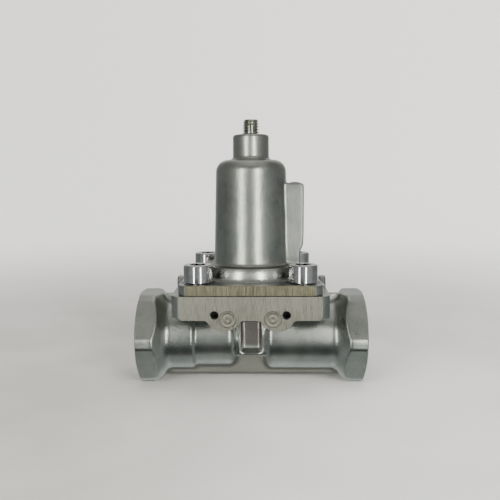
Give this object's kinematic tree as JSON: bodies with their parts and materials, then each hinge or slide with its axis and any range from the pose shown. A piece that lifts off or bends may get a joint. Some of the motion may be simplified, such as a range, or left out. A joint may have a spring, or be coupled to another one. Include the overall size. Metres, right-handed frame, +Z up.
{
  "type": "diaphragm valve",
  "caption": "Adjustable spring-loaded diaphragm overflow valve: two in-line threaded ports with hexagon ends, a flanged body, a tall spring cap and an adjusting screw.",
  "frame": {"origin": "middle of the base: between the two port faces and the two flange faces, at the level of the hexagons' lower flats", "axes": "+Z up along the spring cap and adjusting screw; X along the ports, inlet at -X and outlet at +X; the side with the two plugs faces -Y"},
  "size_m": [0.083, 0.0496, 0.0953],
  "materials": {
    "cast_alloy": "satin die-cast, faintly streaked",
    "bright_zinc": "bright zinc-plated steel",
    "yellow_zinc": "yellow-passivated zinc on steel",
    "spring_steel": "oiled spring steel",
    "brass": "turned brass",
    "rubber": "black nitrile rubber, matt",
    "nylon": "natural moulded nylon"
  },
  "bodies": {
    "housing": {"valve_body": "cast_alloy", "spring_cap": "cast_alloy", "cap_screw_front_left": "bright_zinc", "cap_screw_front_right": "bright_zinc", "cap_screw_rear_left": "bright_zinc", "cap_screw_rear_right": "bright_zinc", "passage_plug_left": "bright_zinc", "passage_plug_right": "bright_zinc", "seat_ring": "brass", "seat_o_ring": "rubber", "diaphragm": "rubber", "main_spring": "spring_steel", "check_spring": "spring_steel", "check_retainer": "bright_zinc", "retaining_ring": "spring_steel"},
    "lift_plate": {"diaphragm_plate": "bright_zinc", "diaphragm_rivet": "bright_zinc"},
    "spring_seat": {"upper_spring_seat": "bright_zinc"},
    "adjuster": {"adjusting_screw": "yellow_zinc"},
    "check_valve": {"check_disc": "nylon", "check_seal": "rubber"}
  },
  "joints": [
    {"name": "diaphragm_lift", "type": "slide", "parent": "housing", "child": "lift_plate", "axis": [0, 0, 1], "range_m": [0, 0.0022], "stiffness_N_per_m": 14600, "deforming": ["main_spring", "diaphragm"]},
    {"name": "spring_seat_slide", "type": "slide", "parent": "housing", "child": "spring_seat", "axis": [0, 0, -1], "range_m": [-0.0015, 0.003], "deforming": ["main_spring"]},
    {"name": "adjusting_screw_turn", "type": "hinge", "parent": "spring_seat", "child": "adjuster", "pos_m": [0, 0, 0.07383], "axis": [0, 0, -1], "range_deg": [-545, 1085]},
    {"name": "check_valve_lift", "type": "slide", "parent": "housing", "child": "check_valve", "axis": [1, 0, 0], "range_m": [0, 0.0035], "stiffness_N_per_m": 430, "deforming": ["check_spring"]}
  ],
  "couplings": [
    {"joint": "adjusting_screw_turn", "follows": "spring_seat_slide", "rad_per_m": 6283.2}
  ]
}
